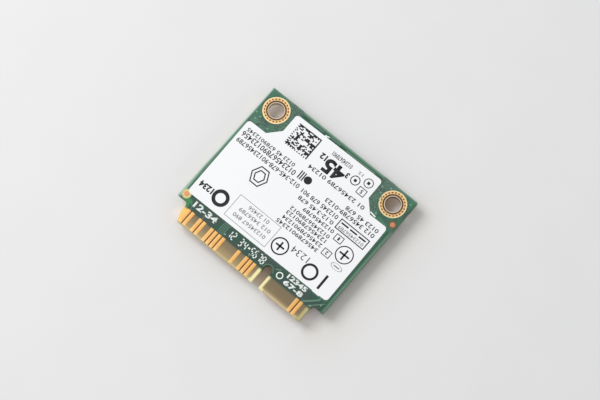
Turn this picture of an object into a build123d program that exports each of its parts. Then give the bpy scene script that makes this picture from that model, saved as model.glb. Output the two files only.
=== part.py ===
from build123d import *
import os

# A half-length wireless network card, in millimetres.
# It lies with its label side up (+Z), on the flat lid of the shield under it.
# +X runs along the contact edge towards the short row of contacts,
# and the contact edge faces -Y. The origin is under the middle of the card.

# Edge contacts and key notch, which set the width of the card
contact_pitch = 0.8
contact_width = 0.6
contact_end_gap = 0.1
contact_reach = 2.65
long_row_count = 18
short_row_count = 8
left_margin = 0.95
left_of_key_margin = 1.40
right_of_key_margin = 1.10
right_margin = 1.55
row_stagger = 0.4
key_width = 1.5
key_depth = 3.9
tongue_shoulder = 2.15
tongue_length = 3.37
tongue_fillet = 0.8
tongue_cut_width = 0.55
tongue_cut_length = 1.8
edge_bevel = 0.1

# Board
board_thickness = 1.0
skin = 0.04
corner_radius = 0.2
mask_gap = 0.05

# Screw holes
hole_side_inset = 2.9
hole_back_inset = 2.75
hole_radius = 1.3
land_inner_radius = 1.65
land_radius = 2.28
via_count = 22
via_circle_radius = 1.92
via_radius = 0.1
via_sides = 8

# Alignment dots
dot_radius = 0.4
dot_opening_radius = 0.66
left_dot_side_inset = 0.97
left_dot_front_inset = 0.96
right_dot_side_inset = 0.8
right_dot_hole_offset = 2.64

# Label
label_thickness = 0.1
label_side_margin = 0.8
label_front_margin = 4.95
label_back_margin = 1.0
label_land_gap = 1.05
label_shoulder_gap = 1.55
label_chamfer = 1.9
label_shoulder_lip = 0.1
label_corner_radius = 0.6
label_turn = 0.9
label_shift = -0.12

# Shielding can
can_height = 1.4
sheet = 0.15
can_side_margin = 1.6
can_front_margin = 6.2
can_back_margin = 1.1
can_hole_gap = 3.85
can_corner_radius = 0.7
lid_clearance = 0.02
lid_skirt_lift = 0.35
lid_fold_chamfer = 0.1
corner_slit = 1.2
flange_width = 0.8
strap_width = 1.3
pickup_radius = 2.2
foot_gap_width = 1.4
foot_gap_height = 0.3
foot_gap_spacing = 2.8
snap_radius = 0.28
snap_sides = 8
snap_clearance = 0.05
snap_depth = 0.1
snap_height = 0.62
snap_spacing = 8.0
side_snap_spacing = 6.0

# Antenna sockets
socket_hole_offset = 4.7
socket_front_offset = 0.45
socket_base_size = 2.6
socket_base_height = 0.35
socket_height = 1.2
socket_radius = 1.0
socket_wall = 0.12
socket_groove_depth = 0.06
socket_groove_height = 0.2
socket_tab_width = 0.8
socket_tab_length = 0.3
socket_core_radius = 0.5
socket_core_height = 0.3
socket_pin_radius = 0.16
socket_pin_clearance = 0.01
socket_pin_recess = 0.15
socket_base_chamfer = 0.35
socket_strip = 0.1
socket_can_gap = 0.5

# Chips and small parts on the hidden side
wall_gap = 0.7
row_wall_gap = 1.0
row_chip_gap = 0.5
chip_chamfer = 0.08
chip_mark_radius = 0.3
chip_mark_depth = 0.03
radio_chip_size = 9.0
radio_chip_height = 0.85
radio_chip_shift = 0.6
regulator_size = 3.0
regulator_height = 0.75
memory_length = 3.0
memory_width = 2.0
memory_height = 0.6
inductor_size = 2.5
inductor_height = 0.95
crystal_length = 3.2
crystal_width = 2.5
crystal_height = 0.7
crystal_rim = 0.2
amplifier_size = 3.0
amplifier_height = 0.7
filter_length = 2.0
filter_width = 1.25
filter_height = 0.6
neck_part_gap = 0.5
small_length = 1.0
small_width = 0.5
small_end = 0.25
small_step = 0.02
capacitor_height = 0.5
resistor_height = 0.35
small_pitch = 1.3
front_row_x = 10.5
front_row_count = 6
resistor_row_count = 4
chip_row_count = 6
side_column_count = 2
side_row_count = 3
side_row_pitch = 1.5

# Heights, worked out from the sizes above
board_bottom = can_height
laminate_bottom = board_bottom + skin
board_top = board_bottom + board_thickness
laminate_top = board_top - skin
flange_bottom = sheet

# Plan positions, worked out from the sizes above
can_depth = radio_chip_size + 2 * (row_chip_gap + small_length + row_wall_gap)
card_length = can_front_margin + can_depth + can_hole_gap + hole_back_inset
long_section = left_margin + (long_row_count - 1) * contact_pitch + left_of_key_margin
short_section = right_of_key_margin + (short_row_count - 1) * contact_pitch + right_margin
tongue_width = long_section + key_width + short_section
card_width = tongue_width + 2 * tongue_shoulder
tongue_x = tongue_width / 2
side_x = card_width / 2
front_y = -card_length / 2
back_y = card_length / 2
step_y = front_y + tongue_length
key_x = -tongue_x + long_section + key_width / 2
last_long_x = key_x - key_width / 2 - left_of_key_margin
first_short_x = key_x + key_width / 2 + right_of_key_margin
contact_front_y = front_y + contact_end_gap
contact_back_y = front_y + contact_reach
hole_x = side_x - hole_side_inset
hole_y = back_y - hole_back_inset
left_dot = (-side_x + left_dot_side_inset, step_y + left_dot_front_inset)
right_dot = (side_x - right_dot_side_inset, hole_y - right_dot_hole_offset)
can_x = side_x - can_side_margin
can_front_y = front_y + can_front_margin
can_shoulder_y = hole_y - can_hole_gap
can_back_y = back_y - can_back_margin
socket_x = hole_x - socket_hole_offset
socket_y = hole_y + socket_front_offset
neck_x = socket_x - socket_base_size / 2 - socket_tab_length - socket_can_gap
can_middle_y = (can_front_y + can_shoulder_y) / 2

# The label side has a contact where its row has a 1, counted from the key notch
label_side_long_row = "111010001111011011"
label_side_short_row = "00000011"


def card_face():
    """The card's outline: a body, and a narrower tongue with its key notch."""
    with BuildSketch() as card:
        with BuildLine():
            Polyline(
                (-tongue_x, step_y),
                (-tongue_x, front_y + tongue_cut_length),
                (-tongue_x + tongue_cut_width, front_y),
                (tongue_x, front_y),
                (tongue_x, step_y),
                (side_x, step_y),
                (side_x, back_y),
                (-side_x, back_y),
                (-side_x, step_y),
                close=True,
            )
        make_face()
        at_step = card.vertices().group_by(Axis.Y)[2]
        fillet(at_step.sort_by(Axis.X)[1:3], radius=tongue_fillet)
        corners = card.vertices().group_by(Axis.Y)[-1]
        fillet(corners, radius=corner_radius)
        with Locations((key_x, front_y + (key_depth - key_width / 2) / 2)):
            Rectangle(key_width, key_depth - key_width / 2, mode=Mode.SUBTRACT)
        with Locations((key_x, front_y + key_depth - key_width / 2)):
            Circle(key_width / 2, mode=Mode.SUBTRACT)
    return card.sketch


def can_face():
    """The shielding can's outline: wide over the chips, narrow between the screw holes."""
    with BuildSketch() as can:
        with BuildLine():
            Polyline(
                (-can_x, can_front_y),
                (can_x, can_front_y),
                (can_x, can_shoulder_y),
                (neck_x, can_shoulder_y),
                (neck_x, can_back_y),
                (-neck_x, can_back_y),
                (-neck_x, can_shoulder_y),
                (-can_x, can_shoulder_y),
                close=True,
            )
        make_face()
        fillet(can.vertices(), radius=can_corner_radius)
    return can.sketch


def label_face():
    """The label's die-cut outline, which clears both screw holes."""
    wide_x = side_x - label_side_margin
    narrow_x = hole_x - land_radius - label_land_gap
    low_y = front_y + label_front_margin
    shoulder_y = hole_y - land_radius - label_shoulder_gap
    top_y = back_y - label_back_margin
    cut_y = shoulder_y + label_shoulder_lip
    with BuildSketch() as outline:
        with BuildLine():
            Polyline(
                (-wide_x, low_y),
                (wide_x, low_y),
                (wide_x, shoulder_y),
                (narrow_x + label_chamfer, shoulder_y),
                (narrow_x, cut_y + label_chamfer),
                (narrow_x, top_y),
                (-narrow_x, top_y),
                (-narrow_x, cut_y + label_chamfer),
                (-narrow_x - label_chamfer, shoulder_y),
                (-wide_x, shoulder_y),
                close=True,
            )
        make_face()
        outer = outline.vertices().group_by(Axis.X)
        fillet(outer[0] + outer[-1], radius=label_corner_radius)
        ends = outline.vertices().group_by(Axis.Y)[-1]
        fillet(ends, radius=label_corner_radius)
    return outline.sketch


def contact_row(first_x, step, row):
    """The middles of a row of contacts."""
    middle_y = (contact_front_y + contact_back_y) / 2
    return [(first_x + step * place, middle_y) for place, mark in enumerate(row) if mark == "1"]


def solder_mask(base_z, dots):
    """The green coat of one face, open over the tongue, the screw lands and the dots."""
    with BuildPart() as mask:
        with BuildSketch(Plane.XY.offset(base_z)):
            add(card_face())
            with Locations((0, front_y)):
                Rectangle(card_width, 2 * contact_reach, mode=Mode.SUBTRACT)
            with Locations((-hole_x, hole_y), (hole_x, hole_y)):
                Circle(land_radius + mask_gap, mode=Mode.SUBTRACT)
            if dots:
                with Locations(*dots):
                    Circle(dot_opening_radius, mode=Mode.SUBTRACT)
        extrude(amount=skin)
    return mask


def edge_contacts(base_z, places):
    """Gold contacts of one face, each a thin plate on the tongue."""
    with BuildPart() as contacts:
        with BuildSketch(Plane.XY.offset(base_z)):
            with Locations(*places):
                Rectangle(contact_width, contact_back_y - contact_front_y)
        extrude(amount=skin)
    return contacts


def screw_land(x):
    """The gold rings round a bare screw hole, one on each face, with their stitching vias."""
    with BuildPart() as land:
        for base_z in (board_bottom, laminate_top):
            with BuildSketch(Plane((x, hole_y, base_z))):
                Circle(land_radius)
                Circle(land_inner_radius, mode=Mode.SUBTRACT)
                if base_z == laminate_top:
                    with PolarLocations(via_circle_radius, via_count):
                        RegularPolygon(via_radius, via_sides, mode=Mode.SUBTRACT)
            extrude(amount=skin)
    return land


def chip(x, y, length, width, height, mark=True):
    """A moulded package under the board, with bevelled edges and a round mark in one corner."""
    low_z = board_bottom - height
    with BuildPart() as package:
        with BuildSketch(Plane((x, y, low_z))):
            Rectangle(length, width)
        extrude(amount=height)
        chamfer(package.faces().sort_by(Axis.Z)[0].edges(), length=chip_chamfer)
        if mark:
            inset = chip_chamfer + 2 * chip_mark_radius
            mark_place = (x - length / 2 + inset, y + width / 2 - inset, low_z)
            with BuildSketch(Plane(mark_place)):
                Circle(chip_mark_radius)
            extrude(amount=chip_mark_depth, mode=Mode.SUBTRACT)
    return package


def small_bodies(places, height):
    """The middles of small two-ended parts that stand side by side."""
    with BuildPart() as bodies:
        with BuildSketch(Plane.XY.offset(board_bottom - height + small_step)):
            with Locations(*places):
                Rectangle(small_width - 2 * small_step, small_length - 2 * small_end)
        extrude(amount=height - small_step)
    return bodies


def small_ends(places, height):
    """The tinned ends of the same parts."""
    reach = (small_length - small_end) / 2
    with BuildPart() as ends:
        with BuildSketch(Plane.XY.offset(board_bottom - height)):
            with Locations(*[(x, y + side * reach) for x, y in places for side in (-1, 1)]):
                Rectangle(small_width, small_end)
        extrude(amount=height)
    return ends


# Laminate board
with BuildPart() as board:
    with BuildSketch(Plane.XY.offset(laminate_bottom)):
        add(card_face())
        with Locations((-hole_x, hole_y), (hole_x, hole_y)):
            Circle(hole_radius, mode=Mode.SUBTRACT)
    extrude(amount=laminate_top - laminate_bottom)
    plug_edges = board.edges().filter_by(Axis.X).group_by(Axis.Y)[0]
    chamfer(plug_edges, length=edge_bevel)

# Solder mask on both faces
label_side_mask = solder_mask(laminate_top, [left_dot, right_dot])
component_side_mask = solder_mask(board_bottom, [])

# Edge contacts on both faces, the hidden ones half a pitch along
label_side_contacts = edge_contacts(
    laminate_top,
    contact_row(last_long_x, -contact_pitch, label_side_long_row)
    + contact_row(first_short_x, contact_pitch, label_side_short_row),
)
component_side_contacts = edge_contacts(
    board_bottom,
    contact_row(last_long_x + row_stagger, -contact_pitch, "1" * long_row_count)
    + contact_row(first_short_x + row_stagger, contact_pitch, "1" * short_row_count),
)

# Screw-hole lands
left_screw_land = screw_land(-hole_x)
right_screw_land = screw_land(hole_x)

# Copper alignment dots
with BuildPart() as alignment_dots:
    with BuildSketch(Plane.XY.offset(laminate_top)):
        with Locations(left_dot, right_dot):
            Circle(dot_radius)
    extrude(amount=skin)

# Paper label
with BuildPart() as label:
    with BuildSketch(Plane((label_shift, 0, board_top)).rotated((0, 0, label_turn))):
        add(label_face())
    extrude(amount=label_thickness)

# Where the lid snaps over the frame: the middle of each snap and the way out of the can
snap_places = [(x, can_front_y, 0, -1) for x in (-snap_spacing, 0, snap_spacing)]
snap_places += [(0, can_back_y, 0, 1)]
for side in (-1, 1):
    snap_places += [
        (side * can_x, can_middle_y + end * side_snap_spacing / 2, side, 0) for end in (-1, 1)
    ]
    snap_places += [(side * (can_x + neck_x) / 2, can_shoulder_y, 0, 1)]

# Shield frame: a fence with feet, an inward flange, and a strap with a round pick-up pad
with BuildPart() as shield_frame:
    with BuildSketch(Plane.XY.offset(flange_bottom)):
        add(can_face())
        offset(can_face(), amount=-sheet, mode=Mode.SUBTRACT)
    extrude(amount=board_bottom - flange_bottom)
    with BuildSketch(Plane.XY.offset(flange_bottom)) as flange:
        add(can_face())
        offset(can_face(), amount=-flange_width, mode=Mode.SUBTRACT)
        with Locations((0, can_middle_y)):
            Rectangle(2 * can_x - 2 * sheet, strap_width)
            Circle(pickup_radius)
    extrude(amount=sheet)
    foot_count_x = int((2 * can_x - foot_gap_spacing) / foot_gap_spacing)
    foot_count_y = int((can_shoulder_y - can_front_y - foot_gap_spacing) / foot_gap_spacing)
    foot_gap_z = board_bottom - foot_gap_height / 2
    with Locations((0, (can_front_y + can_back_y) / 2, foot_gap_z)):
        with GridLocations(foot_gap_spacing, 0, foot_count_x, 1):
            Box(foot_gap_width, can_back_y - can_front_y, foot_gap_height, mode=Mode.SUBTRACT)
    with Locations((0, can_middle_y, foot_gap_z)):
        with GridLocations(0, foot_gap_spacing, 1, foot_count_y):
            Box(2 * can_x, foot_gap_width, foot_gap_height, mode=Mode.SUBTRACT)
    for x, y, out_x, out_y in snap_places:
        with BuildSketch(Plane((x, y, snap_height), z_dir=(-out_x, -out_y, 0))):
            RegularPolygon(snap_radius + snap_clearance, snap_sides)
        extrude(amount=sheet, mode=Mode.SUBTRACT)

# Shield lid: a folded tray whose skirt goes over the fence and snaps into its holes
with BuildPart() as shield_lid:
    with BuildSketch():
        offset(can_face(), amount=lid_clearance + sheet)
    extrude(amount=board_bottom - lid_skirt_lift)
    chamfer(shield_lid.faces().sort_by(Axis.Z)[0].edges(), length=lid_fold_chamfer)
    with BuildSketch(Plane.XY.offset(sheet)):
        offset(can_face(), amount=lid_clearance)
    extrude(amount=board_bottom, mode=Mode.SUBTRACT)
    with BuildSketch(Plane.XY.offset(2 * sheet)):
        with Locations(
            *[(side * can_x, y) for side in (-1, 1) for y in (can_front_y, can_shoulder_y)],
            *[(side * neck_x, y) for side in (-1, 1) for y in (can_shoulder_y, can_back_y)],
        ):
            Rectangle(corner_slit, corner_slit)
    extrude(amount=board_bottom, mode=Mode.SUBTRACT)
    for x, y, out_x, out_y in snap_places:
        start = (x + out_x * lid_clearance, y + out_y * lid_clearance, snap_height)
        with BuildSketch(Plane(start, z_dir=(-out_x, -out_y, 0))):
            RegularPolygon(snap_radius, snap_sides)
        extrude(amount=lid_clearance + snap_depth, taper=30)


def socket_base(x):
    """A socket's insulating plate and core, bored for the pin and slotted for its foot."""
    plate_z = board_bottom - socket_base_height
    bore_radius = socket_pin_radius + socket_pin_clearance
    with BuildPart() as base:
        with BuildSketch(Plane((x, socket_y, plate_z))) as plate:
            Rectangle(socket_base_size, socket_base_size)
            chamfer(plate.vertices(), length=socket_base_chamfer)
        extrude(amount=socket_base_height)
        with BuildSketch(Plane((x, socket_y, plate_z - socket_core_height))):
            Circle(socket_core_radius)
        extrude(amount=socket_core_height)
        with BuildSketch(Plane((x, socket_y, plate_z - socket_core_height))):
            Circle(bore_radius)
        extrude(amount=socket_height, mode=Mode.SUBTRACT)
        with BuildSketch(Plane((x, socket_y, board_bottom))):
            with Locations((0, -socket_base_size / 2)):
                Rectangle(2 * bore_radius, socket_base_size)
        extrude(amount=-socket_strip - socket_pin_clearance, mode=Mode.SUBTRACT)
    return base


def socket_shell(x):
    """A socket's round shell with its snap groove, and the strap that ends in two feet."""
    plate_z = board_bottom - socket_base_height
    strap_z = plate_z - socket_strip
    half_plate = socket_base_size / 2
    half_strap = half_plate + socket_strip
    with BuildPart() as shell:
        with BuildSketch(Plane((x, socket_y, board_bottom - socket_height))):
            Circle(socket_radius)
        extrude(amount=socket_height - socket_base_height)
        with BuildSketch(Plane((x, socket_y, strap_z))):
            Rectangle(2 * half_strap, socket_tab_width)
        extrude(amount=socket_strip)
        for side in (-1, 1):
            with BuildSketch(Plane((x + side * (half_plate + socket_strip / 2), socket_y, strap_z))):
                Rectangle(socket_strip, socket_tab_width)
            extrude(amount=board_bottom - strap_z)
            with BuildSketch(
                Plane((x + side * (half_plate + socket_tab_length / 2), socket_y, board_bottom))
            ):
                Rectangle(socket_tab_length, socket_tab_width)
            extrude(amount=-socket_strip)
        with BuildSketch(Plane((x, socket_y, board_bottom - socket_height))):
            Circle(socket_radius - socket_wall)
        extrude(amount=socket_height - socket_base_height, mode=Mode.SUBTRACT)
        with BuildSketch(Plane((x, socket_y, strap_z - 2 * socket_groove_height))):
            Circle(socket_radius)
            Circle(socket_radius - socket_groove_depth, mode=Mode.SUBTRACT)
        extrude(amount=socket_groove_height, mode=Mode.SUBTRACT)
    return shell


def socket_pin(x):
    """A socket's centre contact, with the foot that runs forward along the board."""
    foot_length = socket_base_size / 2 + socket_tab_length
    pin_z = board_bottom - socket_height + socket_pin_recess
    with BuildPart() as pin:
        with BuildSketch(Plane((x, socket_y, pin_z))):
            Circle(socket_pin_radius)
        extrude(amount=board_bottom - pin_z)
        chamfer(pin.faces().sort_by(Axis.Z)[0].edges(), length=socket_pin_radius / 2)
        with BuildSketch(Plane((x, socket_y - foot_length / 2, board_bottom))):
            Rectangle(2 * socket_pin_radius, foot_length)
        extrude(amount=-socket_strip)
    return pin


# Antenna sockets, beside the neck of the can
left_socket_base = socket_base(-socket_x)
left_socket_shell = socket_shell(-socket_x)
left_socket_pin = socket_pin(-socket_x)
right_socket_base = socket_base(socket_x)
right_socket_shell = socket_shell(socket_x)
right_socket_pin = socket_pin(socket_x)

# Chips, seated on the hidden face under the can
left_column_x = -can_x + wall_gap + regulator_size / 2
right_column_x = can_x - wall_gap - crystal_length / 2
can_low_y = can_front_y + wall_gap
can_high_y = can_shoulder_y - wall_gap
radio_chip = chip(
    radio_chip_shift, can_middle_y, radio_chip_size, radio_chip_size, radio_chip_height
)
regulator_chip = chip(
    left_column_x, can_high_y - regulator_size / 2, regulator_size, regulator_size, regulator_height
)
power_inductor = chip(
    left_column_x, can_middle_y, inductor_size, inductor_size, inductor_height, mark=False
)
memory_chip = chip(
    left_column_x, can_low_y + memory_width / 2, memory_length, memory_width, memory_height
)

# Crystal, a ceramic tray with a smaller metal lid
with BuildPart() as crystal:
    crystal_y = can_low_y + crystal_width / 2
    with BuildSketch(Plane((right_column_x, crystal_y, board_bottom - crystal_height))):
        Rectangle(crystal_length - 2 * crystal_rim, crystal_width - 2 * crystal_rim)
    extrude(amount=crystal_height)
    with BuildSketch(Plane((right_column_x, crystal_y, board_bottom - crystal_height + crystal_rim))):
        Rectangle(crystal_length, crystal_width)
    extrude(amount=crystal_height - crystal_rim)

# Amplifiers and filters in the neck, one pair for each antenna
amplifier_x = (neck_part_gap + amplifier_size) / 2
amplifier_y = can_back_y - wall_gap - amplifier_size / 2
filter_y = amplifier_y - (amplifier_size + filter_width) / 2 - neck_part_gap
left_amplifier = chip(-amplifier_x, amplifier_y, amplifier_size, amplifier_size, amplifier_height)
right_amplifier = chip(amplifier_x, amplifier_y, amplifier_size, amplifier_size, amplifier_height)
left_filter = chip(-amplifier_x, filter_y, filter_length, filter_width, filter_height, mark=False)
right_filter = chip(amplifier_x, filter_y, filter_length, filter_width, filter_height, mark=False)

# Small parts in rows: two rows before the can, the rest around the radio chip
front_row_y = (contact_back_y + can_front_y) / 2
chip_row_offset = radio_chip_size / 2 + row_chip_gap + small_length / 2
chip_front_y = can_middle_y - chip_row_offset
chip_back_y = can_middle_y + chip_row_offset
side_row_x = radio_chip_shift + radio_chip_size / 2 + small_pitch
front_places = [(-front_row_x + small_pitch * k, front_row_y) for k in range(front_row_count)]
chip_front_places = [
    (radio_chip_shift + small_pitch * (k - (chip_row_count - 1) / 2), chip_front_y)
    for k in range(chip_row_count)
]
capacitor_places = front_places + chip_front_places
resistor_places = [(x, chip_back_y) for x, y in chip_front_places]
resistor_places += [(front_row_x - small_pitch * k, front_row_y) for k in range(resistor_row_count)]
capacitor_places += [
    (side_row_x + small_pitch * column, can_middle_y + side_row_pitch * row)
    for column in range(side_column_count)
    for row in range(side_row_count)
]
capacitor_bodies = small_bodies(capacitor_places, capacitor_height)
capacitor_ends = small_ends(capacitor_places, capacitor_height)
resistor_bodies = small_bodies(resistor_places, resistor_height)
resistor_ends = small_ends(resistor_places, resistor_height)

pieces = {
    "board": board,
    "label_side_mask": label_side_mask,
    "component_side_mask": component_side_mask,
    "label_side_contacts": label_side_contacts,
    "component_side_contacts": component_side_contacts,
    "left_screw_land": left_screw_land,
    "right_screw_land": right_screw_land,
    "alignment_dots": alignment_dots,
    "label": label,
    "shield_frame": shield_frame,
    "shield_lid": shield_lid,
    "left_socket_base": left_socket_base,
    "left_socket_shell": left_socket_shell,
    "left_socket_pin": left_socket_pin,
    "right_socket_base": right_socket_base,
    "right_socket_shell": right_socket_shell,
    "right_socket_pin": right_socket_pin,
    "radio_chip": radio_chip,
    "regulator_chip": regulator_chip,
    "power_inductor": power_inductor,
    "memory_chip": memory_chip,
    "crystal": crystal,
    "left_amplifier": left_amplifier,
    "right_amplifier": right_amplifier,
    "left_filter": left_filter,
    "right_filter": right_filter,
    "capacitor_bodies": capacitor_bodies,
    "capacitor_ends": capacitor_ends,
    "resistor_bodies": resistor_bodies,
    "resistor_ends": resistor_ends,
}

os.makedirs("parts", exist_ok=True)
for name, piece in pieces.items():
    piece.part.label = name
    export_step(piece.part, f"parts/{name}.step")
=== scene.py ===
import math
import random

import bpy
from bpy.props import FloatProperty, FloatVectorProperty, IntProperty, PointerProperty
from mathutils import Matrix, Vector


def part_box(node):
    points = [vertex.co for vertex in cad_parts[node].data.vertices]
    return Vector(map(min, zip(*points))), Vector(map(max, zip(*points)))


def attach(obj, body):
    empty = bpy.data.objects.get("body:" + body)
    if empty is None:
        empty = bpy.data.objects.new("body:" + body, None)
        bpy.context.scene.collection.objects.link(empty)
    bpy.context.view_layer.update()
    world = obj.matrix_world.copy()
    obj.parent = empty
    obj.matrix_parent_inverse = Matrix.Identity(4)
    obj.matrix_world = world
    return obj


bl_info = {
    "name": "Wireless Network Card",
    "version": (1, 0, 0),
    "blender": (4, 5, 0),
    "location": "3D View > Sidebar > Card",
    "description": "Dresses a half-length wireless network card in its finishes, print and solder",
    "category": "Object",
}

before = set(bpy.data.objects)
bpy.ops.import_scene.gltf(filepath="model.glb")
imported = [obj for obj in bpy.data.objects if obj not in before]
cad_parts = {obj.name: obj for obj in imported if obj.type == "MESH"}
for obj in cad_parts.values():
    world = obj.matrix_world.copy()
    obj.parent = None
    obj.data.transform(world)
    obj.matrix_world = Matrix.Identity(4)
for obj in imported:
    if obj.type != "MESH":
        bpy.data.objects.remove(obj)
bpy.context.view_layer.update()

# Everything is drawn in millimetres and brought down to metres at the end of each piece
MM = 0.001


def node_box(name):
    """A CAD node's lowest and highest corners, in millimetres."""
    low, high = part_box(name)
    return Vector(low) / MM, Vector(high) / MM


def solid_boxes(name):
    """The box of each separate solid in a CAD node, in millimetres."""
    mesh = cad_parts[name].data
    places = [tuple(round(c / MM, 3) for c in vertex.co) for vertex in mesh.vertices]
    group = {place: place for place in places}

    def root(place):
        while group[place] != place:
            place = group[place]
        return place

    for face in mesh.polygons:
        first = root(places[face.vertices[0]])
        for corner in face.vertices[1:]:
            other = root(places[corner])
            if other != first:
                group[other] = first
    solids = {}
    for place in group:
        solids.setdefault(root(place), []).append(place)
    return sorted(
        tuple(tuple(end(q[k] for q in solid) for k in range(3)) for end in (min, max))
        for solid in solids.values()
    )


# Places read from the CAD
BOARD_LOW, BOARD_HIGH = node_box("board")
MASK_LOW, MASK_HIGH = node_box("label_side_mask")
LAND_LOW, LAND_HIGH = node_box("left_screw_land")
EDGE_Y = BOARD_LOW.y
SIDE_X = BOARD_HIGH.x
BOARD_MIDDLE = (BOARD_LOW.z + BOARD_HIGH.z) / 2
BOARD_HALF = (BOARD_HIGH.z - BOARD_LOW.z) / 2
LABEL_TOP = node_box("label")[1].z
MASK_TOP = MASK_HIGH.z
BACK_MASK_FACE = node_box("component_side_mask")[0].z
BARE_TONGUE = MASK_LOW.y - EDGE_Y
HOLE_X = -(LAND_LOW.x + LAND_HIGH.x) / 2
HOLE_Y = (LAND_LOW.y + LAND_HIGH.y) / 2

# Sizes of the card that its finishes and its print follow
CONTACT_PITCH = 0.8
TONGUE_SIDE = 12.85
KEY_X = 3.85
LEFT_DOT = (-14.03, 4.33 + EDGE_Y)
RIGHT_DOT = (14.20, 21.41 + EDGE_Y)
HOLE_RADIUS = 1.3
DRILLED_RIM = 1.43
LAND_INNER = 1.65
LAND_OUTER = 2.28
VIA_CIRCLE = 1.92
VIA_COUNT = 22
SOCKET_X = 7.4
CAN_SHOULDER_Y = 6.8
CAN_NECK_X = 5.3

LABEL_SIDE_CONTACTS = solid_boxes("label_side_contacts")
COMPONENT_SIDE_CONTACTS = solid_boxes("component_side_contacts")
NEIGHBOUR_GAP = 0.3
CONTACT_GAPS = [
    (left[1][0] + right[0][0]) / 2
    for left, right in zip(LABEL_SIDE_CONTACTS, LABEL_SIDE_CONTACTS[1:])
    if right[0][0] - left[1][0] < NEIGHBOUR_GAP
]

# The label lies slightly turned, with its figures upside down
LABEL_TURN = math.radians(0.9)
UPSIDE_DOWN = math.pi + LABEL_TURN

# The white bar beside the right screw hole, and the dark line under it, lean this way
BAR_TURN = math.radians(-8)

# The photograph's camera, fitted to the board's edges, holes and contacts
CAMERA_PLACE = (0.05908, -0.06647, 0.32622)
CAMERA_TURN = (15.5235, 0.1478, 40.1869)
CAMERA_LENS = 127.25
CAMERA_SENSOR = 36.0

# A soft window on the left of a bright room
WINDOW_PLACE = (-0.30, -0.02, 0.34)
WINDOW_LEAN = -41
WINDOW_SIZE = 0.26
WINDOW_POWER = 1.15
ROOM_COLOUR = (0.97, 0.98, 1.0, 1.0)
ROOM_STRENGTH = 0.60
FLOOR_DROP = 0.03


def length_setting(name, description, value, least=0.001):
    """A length in millimetres that a user can change."""
    description += ", in millimetres"
    return FloatProperty(name=name, description=description, default=value, min=least)


def colour_setting(name, description, value):
    """A colour that a user can change."""
    return FloatVectorProperty(
        name=name, description=description, subtype="COLOR", default=value, min=0.0, max=1.0
    )


class CardSizes(bpy.types.PropertyGroup):
    """Sizes of what is printed and soldered on the card."""

    ink_height: length_setting("Ink height", "Thickness of the print on the label", 0.006)
    legend_height: length_setting(
        "Legend height", "Thickness of the white legend on the board", 0.012
    )
    trace_height: length_setting(
        "Trace height", "How far a trace lifts the mask over it", 0.012
    )
    trace_width: length_setting("Trace width", "Width of a fine trace", 0.13, 0.01)
    code_modules: IntProperty(
        name="Code modules",
        description="Squares along each side of the code block",
        default=20,
        min=8,
    )
    floor_size: FloatProperty(
        name="Floor size",
        description="Width of the pale ground that the card lies on",
        default=1.6,
        unit="LENGTH",
    )


class CardColours(bpy.types.PropertyGroup):
    """Colours that a user would change."""

    mask_green: colour_setting("Mask green", "Solder mask over copper", (0.050, 0.175, 0.100))
    mask_dark: colour_setting(
        "Mask dark green", "Solder mask over bare laminate", (0.018, 0.062, 0.042)
    )
    mask_rim: colour_setting(
        "Mask rim green",
        "Solder mask near the board's edges, where light comes through",
        (0.175, 0.320, 0.230),
    )
    gold: colour_setting("Gold", "Gold plate on the contacts and sockets", (0.960, 0.520, 0.150))
    copper: colour_setting("Copper", "Bare copper of the alignment dots", (0.800, 0.370, 0.210))
    ink: colour_setting("Ink", "Dark print on the label", (0.012, 0.012, 0.014))


# Materials


class Wire:
    """A number running through a material, which can be used in sums."""

    def __init__(self, finish, socket):
        self.finish = finish
        self.socket = socket

    def maths(self, operation, *others):
        return self.finish.number("ShaderNodeMath", {"operation": operation}, [self, *others])

    def __add__(self, other):
        return self.maths("ADD", other)

    __radd__ = __add__

    def __mul__(self, other):
        return self.maths("MULTIPLY", other)

    __rmul__ = __mul__

    def __sub__(self, other):
        return self.maths("SUBTRACT", other)

    def __rsub__(self, other):
        return self.finish.number("ShaderNodeMath", {"operation": "SUBTRACT"}, [other, self])

    def __abs__(self):
        return self.maths("ABSOLUTE")

    def least(self, other):
        return self.maths("MINIMUM", other)

    def most(self, other):
        return self.maths("MAXIMUM", other)

    def above(self, edge, soft=0.05):
        """0 below the edge and 1 above it, with a soft step between."""
        return self.finish.number(
            "ShaderNodeMapRange",
            {"interpolation_type": "SMOOTHSTEP"},
            [self, edge - soft, edge + soft, 0.0, 1.0],
        )

    def below(self, edge, soft=0.05):
        return 1 - self.above(edge, soft)

    def between(self, low, high, soft=0.05):
        return self.above(low, soft) * self.below(high, soft)


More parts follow.
